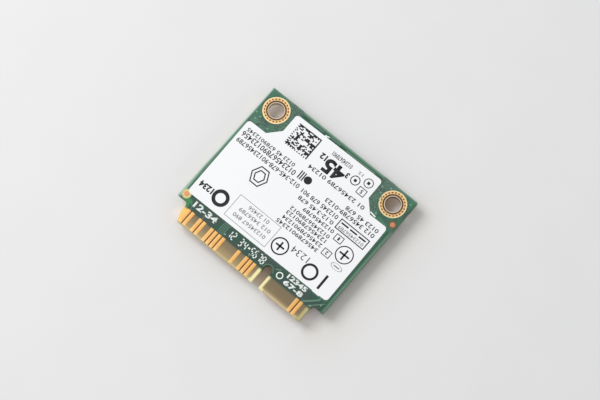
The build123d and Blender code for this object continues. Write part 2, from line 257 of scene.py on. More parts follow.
class Finish:
    """One material: a Principled shader and the nodes that feed it."""

    def __init__(self, name, roughness=0.5, metallic=0.0, **constants):
        self.material = bpy.data.materials.new(name)
        self.material.use_nodes = True
        self.tree = self.material.node_tree
        self.shader = self.tree.nodes["Principled BSDF"]
        self.shader.inputs["Roughness"].default_value = roughness
        self.shader.inputs["Metallic"].default_value = metallic
        for socket, value in constants.items():
            self.shader.inputs[socket.replace("_", " ").title()].default_value = value
        self.place = self.node("ShaderNodeTexCoord").outputs["Object"]

    def node(self, kind, settings=None, inputs=None):
        """Adds one node, with its settings first and then its values and links."""
        made = self.tree.nodes.new(kind)
        for setting, value in (settings or {}).items():
            setattr(made, setting, value)
        pairs = inputs.items() if isinstance(inputs, dict) else enumerate(inputs or [])
        for key, value in pairs:
            self.join(value, made.inputs[key])
        return made

    def join(self, value, socket):
        """Links a wire or a node's output to a socket, or sets the socket's value."""
        if isinstance(value, Wire):
            value = value.socket
        if isinstance(value, bpy.types.NodeSocket):
            self.tree.links.new(value, socket)
        else:
            socket.default_value = value

    def number(self, kind, settings=None, inputs=None):
        return Wire(self, self.node(kind, settings, inputs).outputs[0])

    def position(self):
        """The point on the card, in millimetres."""
        apart = self.node("ShaderNodeSeparateXYZ", None, [self.place])
        return [Wire(self, apart.outputs[axis]) * (1 / MM) for axis in range(3)]

    def noise(self, size, detail=3.0):
        """Cloudy noise whose patches are about this many millimetres across."""
        inputs = {"Vector": self.place, "Scale": 1 / (size * MM), "Detail": detail}
        return Wire(self, self.node("ShaderNodeTexNoise", None, inputs).outputs["Fac"])

    def stretched(self, size_x, size_y, size_z, detail=2.0):
        """Noise drawn out into streaks."""
        scale = tuple(1 / (size * MM) for size in (size_x, size_y, size_z))
        scaled = self.node("ShaderNodeMapping", None, {"Vector": self.place, "Scale": scale})
        inputs = {"Vector": scaled.outputs[0], "Scale": 1.0, "Detail": detail}
        return Wire(self, self.node("ShaderNodeTexNoise", None, inputs).outputs["Fac"])

    def mix(self, amount, first, second):
        """A blend of two colours."""
        blend = self.node("ShaderNodeMix", {"data_type": "RGBA"})
        self.join(amount, blend.inputs["Factor"])
        for value, socket in ((first, blend.inputs[6]), (second, blend.inputs[7])):
            if isinstance(value, tuple) and len(value) == 3:
                value = (*value, 1.0)
            self.join(value, socket)
        return blend.outputs[2]

    def layered(self, colour, *coats):
        """A colour with others laid over it in turn, each given as how much and which."""
        for amount, coat in coats:
            colour = self.mix(amount, colour, coat)
        return colour

    def colour(self, base, *coats):
        """Sets the base colour, with others laid over it in turn."""
        self.join(self.layered(base, *coats), self.shader.inputs["Base Color"])

    def feed(self, socket, value):
        self.join(value, self.shader.inputs[socket])

    def bump(self, height, strength=0.3, distance=0.02):
        inputs = {"Strength": strength, "Distance": distance * MM, "Height": height}
        made = self.node("ShaderNodeBump", None, inputs)
        self.join(made.outputs["Normal"], self.shader.inputs["Normal"])


def from_point(x, y, point):
    """How far a place is from a point, in millimetres."""
    across = x - point[0]
    along = y - point[1]
    return (across * across + along * along).maths("SQRT")


def from_hole(x, y):
    """How far a place is from the middle of its nearest screw hole, in millimetres."""
    return from_point(abs(x), y, (HOLE_X, HOLE_Y))


def laminate_finish():
    """Glass-fibre board: pale where it is cut and bare, brown over inner copper, else olive."""
    finish = Finish("laminate", roughness=0.55)
    finish.feed("Specular IOR Level", 0.3)
    x, y, z = finish.position()
    up = y - EDGE_Y
    faces = abs(z - BOARD_MIDDLE).above(BOARD_HALF - 0.02, 0.01)
    weave = (x * 15).maths("SINE") * (y * 15).maths("SINE") * 0.5 + 0.5
    patch = finish.noise(1.6)

    # The cut edge and the rim beside it, paler at the key notch and golden at the left end, where
    # light coming through the cut laminate is painted in, and darker towards the right end. The
    # end wall of the key notch is painted dark brown as shade.
    notch_end_painted_shade = abs(x - KEY_X).below(0.82, 0.03) * up.between(2.6, 4.0)
    rim = finish.layered(
        finish.mix(patch, (0.58, 0.45, 0.27), (0.70, 0.55, 0.34)),
        (x.below(2.6, 0.15), (0.60, 0.49, 0.25)),
        (x.between(2.45, 5.4, 0.15), (0.96, 0.88, 0.46)),
        (x.above(12.1, 0.3), (0.50, 0.44, 0.20)),
        (x.below(-12.0, 0.2), (0.97, 0.63, 0.16)),
        (notch_end_painted_shade * 0.9, (0.09, 0.045, 0.025)),
    )

    # The bare tongue between the contacts, over inner copper
    inner_copper = x.between(-12.02, 2.60, 0.16).most(x.between(5.05, 12.35, 0.2))
    left_row = x.below(4.0, 0.1) * (1 - up.above(1.15, 1.1) * 0.8)
    over_copper = finish.layered(
        finish.mix(patch, (0.185, 0.130, 0.065), (0.245, 0.175, 0.085)),
        ((up.below(0.62, 0.4) * 0.7).most(left_row), (0.42, 0.305, 0.142)),
        (up.above(1.5, 0.6) * 0.3, (0.15, 0.125, 0.085)),
    )
    gap = abs(x - CONTACT_GAPS[0])
    for place in CONTACT_GAPS[1:]:
        gap = gap.least(abs(x - place))
    slot = gap.below(0.085, 0.02) * up.above(0.08, 0.03)
    mask_edge = up.between(BARE_TONGUE - 0.2, BARE_TONGUE + 0.1, 0.18)
    tongue = finish.layered(
        rim,
        (inner_copper * up.above(0.32, 0.26) * faces, over_copper),
        (mask_edge * 0.7, (0.07, 0.09, 0.055)),
        (weave * 0.03 + 0.02, (0.80, 0.74, 0.48)),
        (slot * faces * 0.95, (0.11, 0.035, 0.004)),
    )

    # Round each screw hole there is a dark gap of bare laminate, darkened further with painted
    # shade from the land, a pale drilled rim and the wall of the hole. The wall is painted paler
    # in the left hole, as lit, and darker in the right hole, as shaded.
    radius = from_hole(x, y)
    rim_and_shaded_gap = finish.mix(
        radius.above(DRILLED_RIM, 0.04), (0.70, 0.58, 0.44), (0.085, 0.030, 0.012)
    )
    drilled_wall = radius.below(HOLE_RADIUS + 0.01, 0.005) * z.below(BOARD_HIGH.z - 0.08, 0.03)
    # Painted light on the left hole's wall and painted shade on the right hole's wall
    wall = finish.mix(x.above(0.0, 1.0), (0.45, 0.38, 0.26), (0.22, 0.17, 0.10))
    bare = up.below(BARE_TONGUE + 0.03, 0.02) * abs(x).below(TONGUE_SIDE + 0.07, 0.02)
    finish.colour(
        finish.mix(patch, (0.085, 0.135, 0.060), (0.150, 0.200, 0.095)),
        (bare, tongue),
        (from_point(x, y, LEFT_DOT).below(0.85, 0.05) * faces, (0.72, 0.66, 0.26)),
        (from_point(x, y, RIGHT_DOT).below(0.85, 0.05) * faces, (0.17, 0.13, 0.06)),
        (radius.below(LAND_OUTER + 0.02, 0.02), (0.045, 0.018, 0.008)),
        (radius.below(LAND_INNER + 0.01, 0.01), rim_and_shaded_gap),
        (drilled_wall, wall),
    )
    finish.bump(weave * 0.2 + finish.stretched(0.9, 0.9, 0.05), 0.2, 0.02)
    return finish.material


def mask_finish(name):
    """Green solder mask: lighter over copper, darker over bare laminate, with the label's shadow
    painted in beside the label, and pale at a cut edge with painted light.
    """
    colours = bpy.context.scene.card_colours
    finish = Finish(name, roughness=0.42, coat_weight=0.08, coat_roughness=0.25)
    finish.feed("Specular IOR Level", 0.32)
    x, y, z = finish.position()
    up = y - EDGE_Y
    from_left = x + SIDE_X
    from_right = SIDE_X - x
    from_back = BOARD_HIGH.y - y
    cloud = finish.noise(2.4, 2.0)
    broad = finish.noise(4.5, 1.0)
    fine = finish.noise(0.35, 2.0)
    speck = finish.noise(0.20, 2.0)

    # Copper fields and the bare laminate between them
    slant = finish.stretched(0.6, 5.0, 5.0, 1.0).above(0.56, 0.03)
    open_field = cloud.above(0.55, 0.05) * 0.45 + slant * 0.30
    tongue_field = up.below(5.0, 0.5) * (0.66 + fine * 0.4)
    green = finish.mix(
        broad.above(0.5, 0.12) * 0.6, tuple(colours.mask_green), (0.095, 0.180, 0.140)
    )
    dark = finish.mix(cloud.above(0.5, 0.08), tuple(colours.mask_dark), (0.040, 0.056, 0.052))
    along_label = abs(x).below(8.6, 0.5)
    below_hole = up.below(20.3, 0.6)
    # Beside and behind the label the mask is darker: bare laminate, with the label's shadow
    # painted in as well
    right_strip = from_right.below(0.75, 0.15) * below_hole
    unbacked_and_label_shadow = right_strip.most(from_back.below(0.95, 0.12) * along_label)

    # Light comes through along the edges
    near_front = up.below(7.0, 2.0)
    left_glow = (from_left - near_front * 0.20).below(0.26, 0.20)
    left_rim = from_left.below(0.15, 0.12) * (up.above(11.5, 1.5) * 0.4 + 0.45)
    right_glow = from_right.below(0.36, 0.36) * 0.75 * below_hole
    back_glow = from_back.below(0.36, 0.36) * (along_label * 0.8 + 0.2)
    shoulder = x.below(-12.45, 0.25) * up.below(4.1, 0.25) * x.above(-14.2, 0.3)

    # The speckled ground beside the screw holes, and the opening round the left dot
    busy = abs(x).between(8.3, 10.6, 0.4) * up.above(20.6, 0.3)
    halo = from_point(x, y, LEFT_DOT).below(0.80, 0.08) * z.above(BOARD_MIDDLE)
    finish.colour(
        green,
        (open_field.most(tongue_field), dark),
        # Darker over bare laminate, with the label's painted shadow
        (unbacked_and_label_shadow * 0.85, (0.006, 0.062, 0.028)),
        (left_glow, (0.31, 0.48, 0.36)),
        (left_rim, (0.74, 0.80, 0.74)),
        (right_glow.most(back_glow) * 0.9, tuple(colours.mask_rim)),
        # Painted light along the very back edge
        (from_back.below(0.12, 0.12) * 0.45, (0.62, 0.70, 0.60)),
        (shoulder * 0.8, (0.05, 0.28, 0.09)),
        (busy * 0.4, (0.13, 0.18, 0.14)),
        (busy * speck.above(0.57, 0.04) * 0.8, (0.012, 0.030, 0.026)),
        (busy * speck.below(0.38, 0.03) * 0.6, (0.20, 0.33, 0.27)),
        (halo * 0.9, (0.72, 0.66, 0.34)),
        (fine * 0.12, (0.10, 0.20, 0.14)),
    )
    finish.feed("Roughness", fine * 0.15 + 0.36)
    finish.bump(cloud * 0.4 + fine * 0.6, 0.12, 0.02)
    return finish.material


def gold_finish():
    """Thin gold plate, with soft scuffs along the way that a socket rubs it, and a painted
    highlight and painted shade across each contact.
    """
    finish = Finish("gold", roughness=0.35, metallic=0.55)
    x, y, z = finish.position()
    scuff = finish.stretched(0.06, 1.6, 1.6)
    cloud = finish.noise(0.5)

    # How far across its contact a place is, where the hidden ones lie half a pitch along
    half_pitch = CONTACT_PITCH / 2
    first = (LABEL_SIDE_CONTACTS[0][0][0] + LABEL_SIDE_CONTACTS[0][1][0]) / 2
    along = x - first + half_pitch + z.below(BOARD_MIDDLE) * half_pitch
    across = along.maths("FLOORED_MODULO", CONTACT_PITCH)
    worn_end = (y - EDGE_Y).below(0.55, 0.25)
    gold = tuple(bpy.context.scene.card_colours.gold)
    finish.colour(
        finish.mix(cloud, gold, (0.84, 0.40, 0.10)),
        (scuff.above(0.55, 0.06) * 0.35, (1.0, 0.68, 0.27)),
        # A painted highlight along one side of each contact and painted shade along the other
        (across.between(0.16, 0.34, 0.06) * 0.35, (0.96, 0.74, 0.38)),
        (across.above(0.56, 0.08) * 0.28, (0.68, 0.32, 0.07)),
        (worn_end * 0.35, (1.0, 0.74, 0.36)),
    )
    finish.feed("Roughness", cloud * 0.25 + 0.28)
    finish.bump(scuff, 0.15, 0.01)
    return finish.material


def land_finish():
    """Gold plate of the rings round the screw holes, paler at their outer rim."""
    finish = Finish("land_gold", roughness=0.35, metallic=0.55)
    x, y, _ = finish.position()
    radius = from_hole(x, y)
    cloud = finish.noise(0.35)
    via_band = radius.between(VIA_CIRCLE - 0.08, VIA_CIRCLE + 0.10, 0.04)
    finish.colour(
        finish.mix(cloud, (1.0, 0.72, 0.33), (0.94, 0.60, 0.24)),
        (radius.above(LAND_OUTER - 0.16, 0.06) * 0.75, (1.0, 0.86, 0.54)),
        (via_band * 0.40, (0.70, 0.30, 0.08)),
        (radius.below(LAND_INNER + 0.05, 0.03) * 0.75, (0.28, 0.10, 0.03)),
    )
    finish.feed("Roughness", cloud * 0.2 + 0.28)
    finish.bump(cloud, 0.15, 0.01)
    return finish.material


def copper_finish():
    """Bare copper, a little dulled."""
    finish = Finish("bare_copper", roughness=0.45, metallic=0.9)
    cloud = finish.noise(0.25)
    copper = tuple(bpy.context.scene.card_colours.copper)
    finish.colour(finish.mix(cloud, copper, (0.62, 0.22, 0.12)))
    finish.feed("Roughness", cloud * 0.3 + 0.3)
    finish.bump(cloud, 0.1, 0.01)
    return finish.material


def solder_finish(name="solder_tin", tint=(0.62, 0.62, 0.62)):
    """Tin solder, bright with dull patches."""
    finish = Finish(name, roughness=0.3, metallic=1.0)
    cloud = finish.noise(0.2)
    finish.colour(finish.mix(cloud, tint, (0.80, 0.80, 0.80)))
    finish.feed("Roughness", cloud * 0.35 + 0.15)
    finish.bump(cloud, 0.2, 0.01)
    return finish.material


def paper_finish():
    """White label stock with a satin face and a faint tooth."""
    finish = Finish("label_paper", coat_weight=0.1, coat_roughness=0.4)
    tooth = finish.noise(0.12, 4.0)
    cloud = finish.noise(5.0)
    finish.colour(finish.mix(cloud, (0.93, 0.93, 0.935), (0.97, 0.97, 0.975)))
    finish.feed("Roughness", tooth * 0.12 + 0.44)
    finish.bump(tooth, 0.08, 0.01)
    return finish.material


def ink_finish(name, solid, thin):
    """Print ink, thinner in places."""
    finish = Finish(name, roughness=0.55)
    finish.feed("Specular IOR Level", 0.25)
    grain = finish.noise(0.09)
    finish.colour(finish.mix(grain.above(0.58, 0.1), solid, thin))
    finish.feed("Roughness", grain * 0.2 + 0.45)
    finish.bump(grain, 0.1, 0.005)
    return finish.material


def tinned_steel_finish():
    """Tinned sheet with rolling lines, softly worn."""
    finish = Finish("tinned_steel", roughness=0.35, metallic=1.0)
    lines = finish.stretched(6.0, 0.05, 6.0)
    cloud = finish.noise(3.0)
    base = finish.mix(cloud, (0.52, 0.52, 0.50), (0.66, 0.66, 0.65))
    finish.colour(finish.mix(lines * 0.3, base, (0.75, 0.75, 0.74)))
    finish.feed("Roughness", cloud * 0.15 + lines * 0.15 + 0.22)
    finish.bump(lines, 0.12, 0.01)
    return finish.material


def moulded_finish(name, dark, light, roughness=0.6, grain=0.08):
    """Moulded or fired material with a fine grain and faint clouds."""
    finish = Finish(name, roughness=roughness)
    speck = finish.noise(grain, 4.0)
    cloud = finish.noise(grain * 12)
    finish.colour(finish.mix(speck * 0.5 + cloud * 0.5, dark, light))
    finish.feed("Roughness", speck * 0.2 + roughness - 0.1)
    finish.bump(speck, 0.2, 0.01)
    return finish.material


def floor_finish():
    """A plain pale ground, faintly mottled, with painted shadow beside the card's right side,
    painted light beside its left side, and painted light and shade where the ground shows through
    the card's holes and notch.
    """
    finish = Finish("floor", roughness=0.75)
    x, y, _ = finish.position()
    cloud = finish.noise(9.0)
    # Painted shadow beside the card's right side, in a warm grey
    beside = x.above(SIDE_X - 1.0, 1.0) * x.below(SIDE_X + 3.5, 7.0)
    right_painted_shadow = beside * abs(y).below(2.0 - EDGE_Y, 5.0)
    # Painted light on the ground beside the card's left side
    left_painted_light = x.above(-SIDE_X - 1.6, 1.6) * y.between(-9.4, 11.5, 1.6) * x.below(-SIDE_X, 1.0)
    # Painted light and shade on the ground under the card, seen through its holes and notch:
    # bright on the left, browner towards the right and bright again under the right hole
    under_card = abs(x).below(SIDE_X - 0.8, 0.8) * abs(y).below(-EDGE_Y - 0.8, 0.8)
    under_card_light_and_shade = finish.layered(
        (1.0, 0.92, 0.87),
        (x.above(0.0, 8.0), (0.84, 0.68, 0.54)),
        (x.above(HOLE_X, HOLE_RADIUS), (1.0, 0.93, 0.92)),
    )
    finish.colour(
        finish.mix(cloud, (0.80, 0.795, 0.79), (0.835, 0.83, 0.825)),
        (right_painted_shadow * 0.9, (0.775, 0.735, 0.680)),
        (left_painted_light, (0.925, 0.90, 0.88)),
        (under_card, under_card_light_and_shade),
    )
    finish.feed("Roughness", cloud * 0.1 + 0.7)
    finish.bump(finish.noise(1.2), 0.05, 0.05)
    return finish.material


# Modelling helpers


def clear_selection():
    bpy.ops.object.select_all(action="DESELECT")


def pick(*objects):
    """Selects just these objects, and makes the first one active."""
    clear_selection()
    for obj in objects:
        obj.select_set(True)
    bpy.context.view_layer.objects.active = objects[0]


def edit_all():
    """Enters edit mode with everything selected."""
    bpy.ops.object.mode_set(mode="EDIT")
    bpy.ops.mesh.select_all(action="SELECT")


def end_edit():
    bpy.ops.object.mode_set(mode="OBJECT")


def apply_all():
    bpy.ops.object.transform_apply(location=True, rotation=True, scale=True)


def thicken(thickness, **settings):
    """Gives the active object a thickness."""
    bpy.ops.object.modifier_add(type="SOLIDIFY")
    modifier = bpy.context.object.modifiers[-1]
    modifier.thickness = thickness
    for setting, value in settings.items():
        setattr(modifier, setting, value)
    bpy.ops.object.modifier_apply(modifier=modifier.name)


class Layer:
    """Flat solids at one height on the card, which are joined into one piece.

    Places are given across from the card's middle line and up from its contact edge.
    """

    def __init__(self, base, height):
        self.base = base
        self.height = height
        self.solids = []

    def place(self, x, y):
        return (x, y + EDGE_Y, self.base)

    def start_line(self, x, y):
        """One vertex in edit mode, to draw a line from."""
        clear_selection()
        bpy.ops.mesh.primitive_plane_add(size=1.0)
        bpy.ops.object.mode_set(mode="EDIT")
        bpy.ops.mesh.select_mode(type="VERT")
        bpy.ops.mesh.select_all(action="SELECT")
        bpy.ops.mesh.merge(type="CENTER")
        bpy.ops.transform.translate(value=self.place(x, y))

    def end_line(self, width):
        """Raises a drawn line to its height and thickens it to its width."""
        bpy.ops.mesh.select_all(action="SELECT")
        bpy.ops.mesh.remove_doubles(threshold=0.002)
        bpy.ops.mesh.select_all(action="SELECT")
        rise = {"value": (0, 0, self.height)}
        bpy.ops.mesh.extrude_edges_move(TRANSFORM_OT_translate=rise)
        end_edit()
        pick(bpy.context.object)
        thicken(width, offset=0.0, use_even_offset=True)
        self.solids.append(bpy.context.object)

    def stroke(self, points, width, closed=False):
        """A line of even width through these points."""
        self.start_line(*points[0])
        if closed:
            points = points + points[:1]
        for start, end in zip(points, points[1:]):
            step = {"value": (end[0] - start[0], end[1] - start[1], 0)}
            bpy.ops.mesh.extrude_vertices_move(TRANSFORM_OT_translate=step)
        self.end_line(width)

    def arc(self, centre, radius, width, start=0.0, sweep=360.0, steps=40):
        """A ring, or part of one, of even width."""
        x, y = centre
        angle = math.radians(start)
        self.start_line(x + radius * math.cos(angle), y + radius * math.sin(angle))
        bpy.ops.mesh.spin(
            steps=steps, angle=math.radians(sweep), center=self.place(x, y), axis=(0, 0, 1)
        )
        self.end_line(width)

    def outline(self, x0, x1, y0, y1, width):
        self.stroke([(x0, y0), (x1, y0), (x1, y1), (x0, y1)], width, closed=True)

    def plate(self, sides, size, centre, turn=0.0):
        """A flat solid with this many sides, such as a disc or a block, of this size."""
        clear_selection()
        bpy.ops.mesh.primitive_circle_add(vertices=sides, radius=1.0, fill_type="NGON")
        obj = bpy.context.object
        first_corner = math.pi / sides
        reach = math.cos(first_corner) if sides == 4 else 1.0
        obj.rotation_euler.z = first_corner
        bpy.ops.object.transform_apply(rotation=True)
        obj.scale = (size[0] / 2 / reach, size[1] / 2 / reach, 1)
        obj.rotation_euler.z = turn
        obj.location = self.place(*centre)
        apply_all()
        thicken(self.height, offset=1.0)
        self.solids.append(obj)

    def block(self, x0, x1, y0, y1, turn=0.0):
        self.plate(4, (x1 - x0, y1 - y0), ((x0 + x1) / 2, (y0 + y1) / 2), turn)

    def words(self, text, x0, x1, y0, y1, turn=0.0, weight=0.0, smooth=2):
        """A line of figures drawn to fill this box."""
        clear_selection()
        bpy.ops.object.text_add()
        obj = bpy.context.object
        obj.data.body = text
        obj.data.resolution_u = smooth
        obj.data.offset = weight
        bpy.ops.object.convert(target="MESH")
        obj = bpy.context.object
        low, high = Vector(obj.bound_box[0]), Vector(obj.bound_box[6])
        obj.location = -(low + high) / 2
        bpy.ops.object.transform_apply(location=True)
        obj.scale = ((x1 - x0) / (high.x - low.x), (y1 - y0) / (high.y - low.y), 1)
        obj.rotation_euler.z = turn
        obj.location = self.place((x0 + x1) / 2, (y0 + y1) / 2)
        apply_all()
        edit_all()
        bpy.ops.mesh.remove_doubles(threshold=0.001)
        bpy.ops.mesh.normals_make_consistent(inside=False)
        end_edit()
        if obj.data.polygons[0].normal.z < 0:
            edit_all()
            bpy.ops.mesh.flip_normals()
            end_edit()
        thicken(self.height, offset=1.0)
        self.solids.append(obj)

    def domes(self, places, radius=0.16):
        """Small domes, as mask makes over filled holes."""
        clear_selection()
        bpy.ops.mesh.primitive_uv_sphere_add(segments=10, ring_count=6, radius=1.0)
        first = bpy.context.object
        edit_all()
        bpy.ops.mesh.bisect(
            plane_co=(0, 0, 0), plane_no=(0, 0, 1), clear_inner=True, use_fill=True
        )
        end_edit()
        first.scale = (radius, radius, self.height)
        bpy.ops.object.transform_apply(scale=True)
        self.solids.append(first)
        for _ in places[1:]:
            pick(first)
            bpy.ops.object.duplicate()
            self.solids.append(bpy.context.object)
        for dome, place in zip(self.solids, places):
            dome.location = self.place(*place)
        pick(*self.solids)
        bpy.ops.object.transform_apply(location=True)


def make_piece(draw, base, height, material, hidden=False):
    """Draws a layer and joins it into a piece of real size, named after what draws it.

    A layer of the hidden side is drawn as it is seen from below, and turned over here.
    """
    layer = Layer(base, height)
    draw(layer)
    pick(*layer.solids)
    if len(layer.solids) > 1:
        bpy.ops.object.join()
    obj = bpy.context.object
    obj.name = draw.__name__
    obj.data.name = draw.__name__
    edit_all()
    bpy.ops.mesh.normals_make_consistent(inside=False)
    end_edit()
    obj.scale = (MM, MM, MM)
    obj.rotation_euler.y = math.pi if hidden else 0.0
    apply_all()
    obj.data.materials.clear()
    obj.data.materials.append(material)
    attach(obj, "root")


# Label print, in which each box is given as x0, x1, y0, y1


def label_figures(layer):
    """The small lines of figures on the label."""
    for text, *box in (
        ("012345678901", -0.6, 3.3, 24.05, 24.85),
        ("01 23456789 01234", -2.2, 9.1, 20.05, 20.8),
        ("0123 45 6789012345", -13.6, -3.9, 18.45, 19.15),
        ("01234567890123456", -13.85, -3.0, 17.3, 18.3),
        ("012-345-678-90123456789", -13.85, -1.1, 16.1, 16.95),
        ("0123 45 678", 6.75, 13.25, 18.55, 19.3),
        ("012 3456789-0123", 3.45, 13.25, 17.5, 18.3),
        ("012345 678 901", -0.4, 6.9, 16.2, 17.0),
        ("0.12-3.45 678", -0.1, 6.9, 15.05, 15.8),
        ("0123456789", 1.75, 7.9, 14.05, 14.75),
        ("0123456789012", 0.0, 7.9, 12.95, 13.65),
        ("1234567890123", 0.0, 7.9, 12.05, 12.75),
        ("2345678901234", 0.0, 7.9, 11.05, 11.75),
        ("3456789012345", -0.4, 7.9, 10.05, 10.75),
    ):
        layer.words(text, *box, UPSIDE_DOWN, 0.015)
    layer.words("1234", 4.55, 7.8, 7.75, 8.9, UPSIDE_DOWN, -0.006)


def label_bold_figures(layer):
    """The heavy figures on the label."""
    for text, *box in (
        ("12", -1.9, -0.7, 22.45, 23.5),
        ("3", 3.3, 3.85, 22.5, 23.5),
        ("45", -0.55, 3.25, 21.0, 23.6),
        ("1234", -13.6, -11.0, 6.6, 7.7),
    ):
        layer.words(text, *box, UPSIDE_DOWN, 0.04, 5)


def label_marks(layer):
    """Plain rings, discs, blocks and frames in the places of the label's marks."""
    layer.arc((5.06, 23.2), 0.75, 0.16)
    layer.plate(16, (0.55, 0.55), (5.06, 23.2))
    layer.arc((7.0, 24.2), 0.75, 0.14)
    layer.plate(4, (0.5, 0.5), (7.0, 24.2), LABEL_TURN)
    for outline, figure, box in (
        ((6.3, 7.7, 21.8, 23.0), "5", (6.8, 7.2, 22.05, 22.75)),
        ((8.5, 9.9, 13.6, 14.7), "1", (9.05, 9.35, 13.85, 14.45)),
        ((8.5, 9.9, 10.6, 11.7), "2", (8.98, 9.42, 10.85, 11.45)),
    ):
        layer.outline(*outline, 0.13)
        layer.words(figure, *box, UPSIDE_DOWN, 0.03)
    layer.arc((11.55, 12.7), 1.42, 0.18, steps=56)
    layer.block(10.6, 12.5, 12.55, 12.85, LABEL_TURN)
    layer.block(11.40, 11.70, 11.75, 13.65, LABEL_TURN)
    layer.arc((-9.4, 7.2), 1.15, 0.6, steps=56)
    layer.arc((2.87, 7.3), 1.36, 0.24, steps=56)
    layer.block(2.05, 3.70, 7.15, 7.45, LABEL_TURN)
    layer.block(2.72, 3.02, 6.5, 8.1, LABEL_TURN)
    layer.plate(32, (1.35, 1.35), (-0.7, 18.35))
    layer.outline(7.5, 13.15, 15.25, 17.0, 0.17)
    layer.arc((9.15, 7.12), 1.2, 0.39, steps=56)
    layer.block(11.55, 11.97, 5.8, 8.5, LABEL_TURN)
    for reach in (1.0, 0.6):
        hexagon = [
            (-7.0 + 1.5 * reach * math.cos(turn), 13.9 + 1.75 * reach * math.sin(turn))
            for turn in (math.radians(60 * k) for k in range(6))
        ]
        layer.stroke(hexagon, 0.2, closed=True)
    for k in range(3):
        layer.block(-2.45 + 0.4 * k, -2.24 + 0.4 * k, 17.6, 19.1, LABEL_TURN)
        layer.block(7.85 + 1.75 * k, 9.25 + 1.75 * k, 16.35, 16.62, LABEL_TURN)


def label_pale_print(layer):
    """Thin grey print: a fine frame with three lines of figures, two more lines and an oval."""
    layer.outline(-7.3, 1.05, 5.6, 9.75, 0.09)
    for text, *box in (
        ("01 23456", -5.0, -0.9, 8.65, 9.35),
        ("012 3456789", -6.0, 0.25, 7.55, 8.25),
        ("01234567 890", -6.25, 0.2, 6.35, 7.05),
        ("0123456789", 7.85, 12.8, 15.45, 16.05),
        ("12", 4.6, 5.5, 24.35, 24.85),
    ):
        layer.words(text, *box, UPSIDE_DOWN, 0.012)
    layer.arc((0, 0), 1.0, 0.12, steps=36)
    oval = layer.solids[-1]
    pick(oval)
    oval.location = (0, -EDGE_Y, 0)
    bpy.ops.object.transform_apply(location=True)
    oval.scale = (1.0, 0.5, 1.0)
    bpy.ops.object.transform_apply(scale=True)
    oval.location = (11.85, 10.4 + EDGE_Y, 0)
    bpy.ops.object.transform_apply(location=True)
    layer.block(11.3, 12.4, 10.3, 10.5, LABEL_TURN)


def label_code_block(layer):
    """A square of small squares, drawn by chance inside two solid and two dotted rims."""
    modules = bpy.context.scene.card_sizes.code_modules
    last = modules - 1
    x0, x1, y0, y1 = -7.75, -3.2, 20.75, 24.9
    clear_selection()
    bpy.ops.mesh.primitive_grid_add(x_subdivisions=modules, y_subdivisions=modules, size=1.0)
    obj = bpy.context.object
    obj.scale = (x1 - x0, y1 - y0, 1)
    obj.rotation_euler.z = LABEL_TURN
    obj.location = layer.place((x0 + x1) / 2, (y0 + y1) / 2)
    bpy.ops.object.mode_set(mode="EDIT")
    bpy.ops.mesh.select_mode(type="FACE")
    bpy.ops.mesh.select_all(action="DESELECT")
    end_edit()
    pattern = random.Random(11)
    dark = False
    for polygon in obj.data.polygons:
        column = int((polygon.center.x + 0.5) * modules)
        row = int((polygon.center.y + 0.5) * modules)
        solid_rim = last in (row, column)
        dotted_rim = (column == 0 and row % 2 == 1) or (row == 0 and column % 2 == 1)
        inside = 0 < column < last and 0 < row < last
        dark = pattern.random() < (0.64 if dark else 0.34)
        polygon.select = not (solid_rim or dotted_rim or (inside and dark))
    bpy.ops.object.mode_set(mode="EDIT")
    bpy.ops.mesh.delete(type="FACE")
    bpy.ops.mesh.select_all(action="SELECT")
    bpy.ops.mesh.edge_split(type="EDGE")
    end_edit()
    apply_all()
    thicken(layer.height, offset=1.0)
    layer.solids.append(obj)


# Board legend, traces and vias

# The strokes of each figure: a to f run clockwise from the top, and g crosses the middle
SEGMENTS = {
    "1": "bc",
    "2": "abged",
    "3": "abgcd",
    "4": "fgbc",
    "5": "afgcd",
    "6": "afgedc",
    "7": "abc",
    "8": "abcdefg",
}


def segment_figure(layer, figure, x, y, width, tall, line):
    """One figure made of short straight strokes, with gaps at its corners."""
    gap = line * 0.5
    middle = y + tall / 2
    right = x + width
    top = y + tall
    ends = {
        "a": [(x + gap, top), (right - gap, top)],
        "b": [(right, middle + gap), (right, top - gap)],
        "c": [(right, y + gap), (right, middle - gap)],
        "d": [(x + gap, y), (right - gap, y)],
        "e": [(x, y + gap), (x, middle - gap)],
        "f": [(x, middle + gap), (x, top - gap)],
        "g": [(x + gap, middle), (right - gap, middle)],
    }
    for segment in SEGMENTS[figure]:
        layer.stroke(ends[segment], line)


def board_legend(layer):
    """The white legend along the contact edge and beside the right screw hole."""
    layer.words("12-34", -12.0, -7.35, 3.35, 4.45, 0.0, 0.038, 4)
    layer.words("12345", 6.9, 10.75, 4.08, 4.92, 0.0, 0.045, 3)
    layer.words("67-8", 7.0, 10.75, 2.95, 3.85, 0.0, 0.045, 3)
    layer.arc((5.9, 3.65), 0.5, 0.18, steps=28)
    layer.block(11.3, 12.75, 5.02, 5.16)
    layer.block(10.15, 11.3, 20.62, 20.84, BAR_TURN)
    layer.block(-3.40, -2.98, 25.60, 26.04)
    layer.block(-2.98, -2.64, 25.94, 26.12)
    layer.block(-0.78, -0.44, 3.75, 4.05)
    for figure, x in zip("12345678", (-4.75, -3.95, -2.45, -1.6, -0.15, 0.6, 1.35, 2.1)):
        segment_figure(layer, figure, x, 3.2, 0.48, 1.25, 0.17)


def bare_patches(layer):
    """Dark openings in the mask behind the label, and the dark line under the white bar."""
    layer.block(-2.64, -2.05, 25.78, 25.96)
    layer.block(-1.55, -1.15, 25.80, 25.97)
    layer.block(-0.65, 0.05, 25.82, 26.00)
    layer.block(10.25, 11.35, 20.36, 20.48, BAR_TURN)


